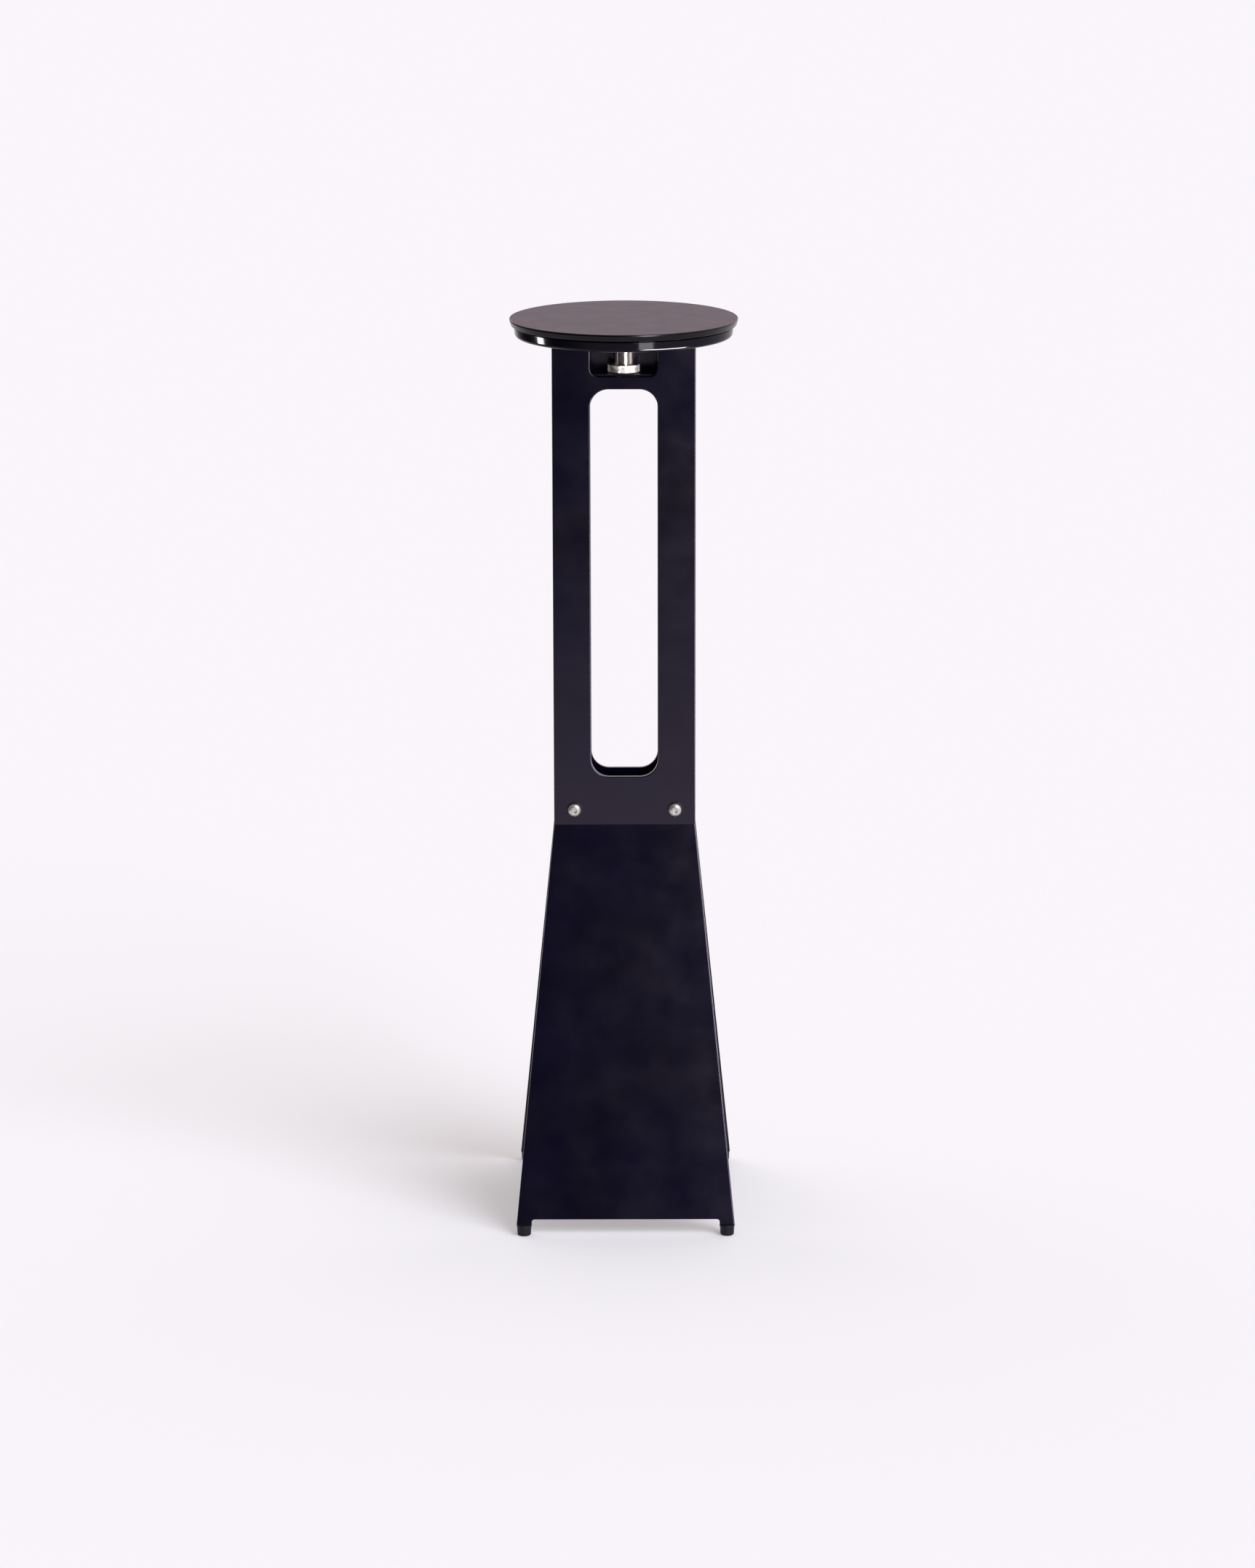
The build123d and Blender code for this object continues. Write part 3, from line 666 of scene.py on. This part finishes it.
class TURNTABLE_OT_screws(Maker, bpy.types.Operator):
    """Makes the button-head screws of the column and of the bridge"""

    bl_idname = "turntable.screws"
    bl_label = "Button-head screws"

    def make(self, sizes):
        for node, side, shank, head, height in SCREWS:
            low, high = frame_box(node)
            outer, inner = (high[1], low[1]) if side > 0 else (low[1], high[1])
            seat = outer - side * height
            one = button_head(shank, head, height, abs(seat - inner), SOCKET_SHARE * head)
            level, reach = (low[2] + high[2]) / 2, high[0] - head
            pair = [placed(one, facing(side), (x, seat, level)) for x in (-reach, reach)]
            piece(node + "_turned", joined(pair), finish("plain_stainless"), "stand", [node])


class TURNTABLE_OT_washers(Maker, bpy.types.Operator):
    """Makes the dark washers under the column's screws"""

    bl_idname = "turntable.washers"
    bl_label = "Washers"

    def make(self, sizes):
        for node, side in WASHERS:
            low, high = frame_box(node)
            inner = high[1] if side < 0 else low[1]
            thick, radius = high[1] - low[1], (high[2] - low[2]) / 2
            outline = eased([(WASHER_BORE, 0, 0), (radius, 0, WASHER_UNDER_EDGE),
                             (radius, thick, SOFT), (WASHER_BORE, thick, 0)])
            one = skin(rings_of(outline, NEAR_ROUND), loop=True)
            level, reach = (low[2] + high[2]) / 2, high[0] - radius
            pair = [placed(one, facing(side), (x, inner, level)) for x in (-reach, reach)]
            piece(node + "_eased", joined(pair), finish("black_nylon"), "stand", [node])


class TURNTABLE_OT_feet(Maker, bpy.types.Operator):
    """Moulds the four push-on feet"""

    bl_idname = "turntable.feet"
    bl_label = "Rubber feet"

    def make(self, sizes):
        for node in FEET:
            low, high = frame_box(node)
            middle, top = (low + high) / 2, high[2]
            collar = (high[0] - low[0]) / 2
            body = collar - COLLAR_STEP
            outline = eased([
                (FOOT_CENTRE, 0, 0), (body - FOOT_TAPER, 0, SOLE_ROUND),
                (body, top - COLLAR_HEIGHT - COLLAR_RAMP, FINE),
                (collar, top - COLLAR_HEIGHT, FINE), (collar, top, BOLD),
                (FOOT_CENTRE, top, 0)])
            part = skin(rings_of(outline, NEAR_ROUND), loop=False)
            piece(node + "_moulded", placed(part, np.eye(3), (middle[0], middle[1], 0)),
                  finish("moulded_rubber"), "stand", [node])


class TURNTABLE_OT_inner_works(Maker, bpy.types.Operator):
    """Finishes the spacers, key pin, bearings and other pieces that sit inside"""

    bl_idname = "turntable.inner_works"
    bl_label = "Inner works"

    def make(self, sizes):
        dress(("spacer_left", "spacer_right", "plate_screws"), "plain_stainless")
        dress(("key_pin", "race_spacer"), "ground_bearing_steel")
        dress(("post_circlip",), "blued_spring_steel")
        for place in ("lower", "upper"):
            dress([f"{place}_{part}" for part in ("inner_race", "outer_race", "balls")],
                  "ground_bearing_steel")
            dress([f"{place}_cage"], "machined_brass")


# ---- studio ----
def hung(name, data):
    """An object for a light or camera, linked to the scene."""
    thing = bpy.data.objects.new(name, data)
    bpy.context.scene.collection.objects.link(thing)
    return thing


def group_of(name, things):
    """A collection that a light can be held to."""
    group = bpy.data.collections.new(name)
    for thing in things:
        group.objects.link(thing)
    return group


def sun(name, power):
    """A sun lamp, and its object."""
    data = bpy.data.lights.new(name, "SUN")
    data.energy = power
    return data, hung(name, data)


def soft_box(name, place, height, size, power, receivers):
    """A soft box that faces the axis, shines on the receivers only and isn't seen itself."""
    data = bpy.data.lights.new(name, "AREA")
    data.shape = "RECTANGLE"
    data.size, data.size_y = size
    data.energy = power
    lamp = hung(name, data)
    lamp.location = place
    away = Vector(place) - Vector((0, 0, height))
    lamp.rotation_euler = away.to_track_quat("Z", "Y").to_euler()
    lamp.visible_camera = False
    lamp.light_linking.receiver_collection = receivers


def maths(tree, kind, first, second, factor=None):
    """A math node over two values; with a factor, MULTIPLY_ADD gives first x factor + second."""
    node = tree.nodes.new("ShaderNodeMath")
    node.operation = kind
    tree.links.new(first, node.inputs[0])
    if factor is not None:
        node.inputs[1].default_value = factor
    tree.links.new(second, node.inputs[1 if factor is None else 2])
    return node.outputs["Value"]


def seen_or(tree, value):
    """The value for light and reflections, and 1 where the floor or air is seen directly."""
    path = tree.nodes.new("ShaderNodeLightPath")
    return maths(tree, "MAXIMUM", value, path.outputs["Is Camera Ray"])


def axes(tree, coordinates):
    """The separate X, Y and Z outputs of one kind of coordinates."""
    where = tree.nodes.new("ShaderNodeTexCoord")
    apart = tree.nodes.new("ShaderNodeSeparateXYZ")
    tree.links.new(where.outputs[coordinates], apart.inputs["Vector"])
    return apart.outputs


def floor_finish(colour):
    """A plain pale matt floor that reflects dark far in front and far at the left, where its
    colour is darkened as painted shade of the unlit room.
    """
    material, tree, shader = blank("pale_floor", colour, 0.9, Specular_IOR_Level=0.0)
    along = axes(tree, "Object")
    front = spread(tree, along["Y"], FLOOR_FRONT, (0, 1), smooth=True)
    beside = maths(tree, "MULTIPLY_ADD", along["Y"], along["X"], VIEW_WIDENING)
    left = spread(tree, beside, FLOOR_LEFT, (0, 1), smooth=True)
    # painted shade mask: 1 on the near floor and wherever the camera sees the floor, fading to
    # the darkened far floor
    shown = seen_or(tree, maths(tree, "MULTIPLY", front, left))
    mix = tree.nodes.new("ShaderNodeMix")
    mix.data_type = "RGBA"
    mix.inputs["A"].default_value = (*(FLOOR_PAINTED_SHADE * c for c in colour), 1)
    mix.inputs["B"].default_value = (*colour, 1)
    tree.links.new(shown, mix.inputs["Factor"])
    tree.links.new(mix.outputs["Result"], shader.inputs["Base Color"])
    return material


def studio_air():
    """The studio around: light from behind and from the right, dim where the room is dark."""
    world = bpy.data.worlds.new("studio")
    world.use_nodes = True
    tree = world.node_tree
    along = axes(tree, "Generated")
    behind = maths(tree, "MULTIPLY_ADD", along["X"], along["Y"], AIR_LEAN)
    strength = seen_or(tree, spread(tree, behind, AIR_RANGE, (AIR_DARK, 1), smooth=True))
    tree.links.new(strength, tree.nodes["Background"].inputs["Strength"])
    tree.nodes["Background"].inputs["Color"].default_value = (*AIR_COLOUR, 1)
    return world


class TURNTABLE_OT_stage(Maker, bpy.types.Operator):
    """Sets the pale floor, the soft studio lights and the camera"""

    bl_idname = "turntable.stage"
    bl_label = "Studio"

    def make(self, sizes):
        scene = bpy.context.scene
        scene.view_settings.view_transform = "Standard"
        floor = self.make_floor(scene)
        scene.world = studio_air()
        self.make_lights(floor)
        self.make_camera(scene)

    def make_floor(self, scene):
        """A level square far wider than any view of the object."""
        mesh = bpy.data.meshes.new("studio_floor")
        corners = [(-FLOOR_REACH, -FLOOR_REACH, 0), (FLOOR_REACH, -FLOOR_REACH, 0),
                   (FLOOR_REACH, FLOOR_REACH, 0), (-FLOOR_REACH, FLOOR_REACH, 0)]
        mesh.from_pydata(corners, [], [[0, 1, 2, 3]])
        floor = hung("studio_floor", mesh)
        mesh.materials.append(floor_finish(tuple(scene.turntable_colours.floor)))
        floor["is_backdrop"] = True
        return floor

    def make_lights(self, floor):
        """The key, the soft boxes with what each may light, and the floor's own fill."""
        data, key = sun("key", KEY_POWER)
        data.angle, data.color = KEY_SPREAD, KEY_COLOUR
        key.matrix_world = Matrix.Rotation(KEY_TURN, 4, "Z") @ Matrix.Rotation(KEY_TILT, 4, "X")
        made, nodes = bpy.data.objects, frame["nodes"]
        front_screws = made["front_spacer_screws_turned"]
        lit = {
            "pieces": [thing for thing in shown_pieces() if thing is not front_screws],
            "panels": [nodes["front_panel"], nodes["rear_panel"]],
            "inside": [nodes["rear_panel"], nodes["top_bridge"]],
            "pan": [made["cast_pan"]],
            "front_screws": [front_screws],
            "ring": [made["knurled_ring"]],
        }
        groups = {name: group_of("turntable_" + name, things) for name, things in lit.items()}
        for name, place, height, size, power, group in SOFT_BOXES:
            soft_box(name, place, height, size, power, groups[group])
        data, fill = sun("floor_fill", FILL_POWER)
        data.use_shadow = False
        fill.light_linking.receiver_collection = group_of("studio_ground", [floor])

    def make_camera(self, scene):
        """The camera well above the plate and far in front, looking slightly down."""
        data = bpy.data.cameras.new("camera")
        data.lens, data.sensor_width, data.sensor_fit = LENS, SENSOR, "AUTO"
        data.clip_start, data.clip_end = CAMERA_NEAR, CAMERA_FAR
        camera = hung("camera", data)
        camera.matrix_world = (
            Matrix.Translation(CAMERA_PLACE)
            @ Matrix.Rotation(CAMERA_PAN, 4, "Z")
            @ Matrix.Rotation(CAMERA_TILT, 4, "X")
            @ Matrix.Rotation(CAMERA_ROLL, 4, "Z"))
        scene.camera = camera


MAKERS = (
    TURNTABLE_OT_panels, TURNTABLE_OT_work_plate, TURNTABLE_OT_cast_pan, TURNTABLE_OT_post,
    TURNTABLE_OT_lock_ring, TURNTABLE_OT_screws, TURNTABLE_OT_washers, TURNTABLE_OT_feet,
    TURNTABLE_OT_inner_works, TURNTABLE_OT_stage)


class TURNTABLE_PT_panel(bpy.types.Panel):
    """Lists the sizes, the colours and the makers"""

    bl_idname = "TURNTABLE_PT_panel"
    bl_label = "Sculpting turntable"
    bl_space_type = "VIEW_3D"
    bl_region_type = "UI"
    bl_category = "Turntable"

    def draw(self, context):
        """Draws every property, then a button for each maker."""
        for group in (context.scene.turntable_sizes, context.scene.turntable_colours):
            for name in group.__annotations__:
                self.layout.prop(group, name)
        for maker in MAKERS:
            self.layout.operator(maker.bl_idname)


CLASSES = (TURNTABLE_PG_sizes, TURNTABLE_PG_colours, *MAKERS, TURNTABLE_PT_panel)


def register():
    """Registers the classes and hangs the two property groups on the scene."""
    for each in CLASSES:
        bpy.utils.register_class(each)
    bpy.types.Scene.turntable_sizes = PointerProperty(type=TURNTABLE_PG_sizes)
    bpy.types.Scene.turntable_colours = PointerProperty(type=TURNTABLE_PG_colours)


def unregister():
    """Takes the property groups and the classes away again."""
    del bpy.types.Scene.turntable_colours
    del bpy.types.Scene.turntable_sizes
    for each in reversed(CLASSES):
        bpy.utils.unregister_class(each)


def main():
    """Registers the add-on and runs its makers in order."""
    register()
    for maker in MAKERS:
        group, _, name = maker.bl_idname.partition(".")
        getattr(getattr(bpy.ops, group), name)()


if __name__ == "__main__":
    main()
